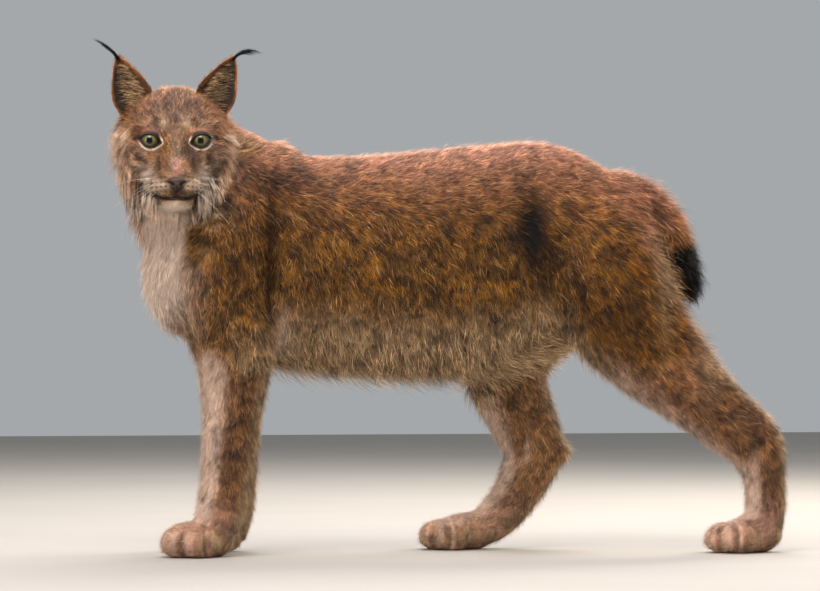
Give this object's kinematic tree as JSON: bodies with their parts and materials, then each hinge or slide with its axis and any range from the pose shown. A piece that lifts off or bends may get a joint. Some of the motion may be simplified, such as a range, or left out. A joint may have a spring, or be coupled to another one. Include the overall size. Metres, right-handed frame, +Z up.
{
  "type": "eurasian lynx model",
  "caption": "Life-size still model of a Eurasian lynx standing mid-stride, head turned to its left, with tufted ears, a cheek ruff and a short black-tipped tail.",
  "frame": {"origin": "on the floor under the middle of the model's outline, seen from above", "axes": "+Z up; the body faces -X, its left side faces -Y, and the head is turned towards -Y"},
  "size_m": [1.0472, 0.291, 0.7693],
  "materials": {
    "head": "dense short fur, longer in the cheek ruff",
    "nose": "bare moist pad",
    "neck": "dense fur",
    "torso": "dense fur, paler beneath",
    "tail": "dense fur",
    "tail_tip": "black fur",
    "eye_left": "wet, clear cornea over a yellow-green iris",
    "ear_left": "short fur, with a long dark tuft",
    "shoulder_left": "dense spotted fur",
    "foreleg_left": "short spotted fur",
    "forepaw_left": "short fur",
    "thigh_left": "dense spotted fur",
    "shank_left": "short spotted fur",
    "hindpaw_left": "short fur",
    "eye_right": "wet, clear cornea over a yellow-green iris",
    "ear_right": "short fur, with a long dark tuft",
    "shoulder_right": "dense spotted fur",
    "foreleg_right": "short spotted fur",
    "forepaw_right": "short fur",
    "thigh_right": "dense spotted fur",
    "shank_right": "short spotted fur",
    "hindpaw_right": "short fur"
  },
  "bodies": {
    "root": {"head": "head", "nose": "nose", "neck": "neck", "torso": "torso", "tail": "tail", "tail_tip": "tail_tip", "eye_left": "eye_left", "ear_left": "ear_left", "shoulder_left": "shoulder_left", "foreleg_left": "foreleg_left", "forepaw_left": "forepaw_left", "thigh_left": "thigh_left", "shank_left": "shank_left", "hindpaw_left": "hindpaw_left", "eye_right": "eye_right", "ear_right": "ear_right", "shoulder_right": "shoulder_right", "foreleg_right": "foreleg_right", "forepaw_right": "forepaw_right", "thigh_right": "thigh_right", "shank_right": "shank_right", "hindpaw_right": "hindpaw_right"}
  },
  "joints": []
}
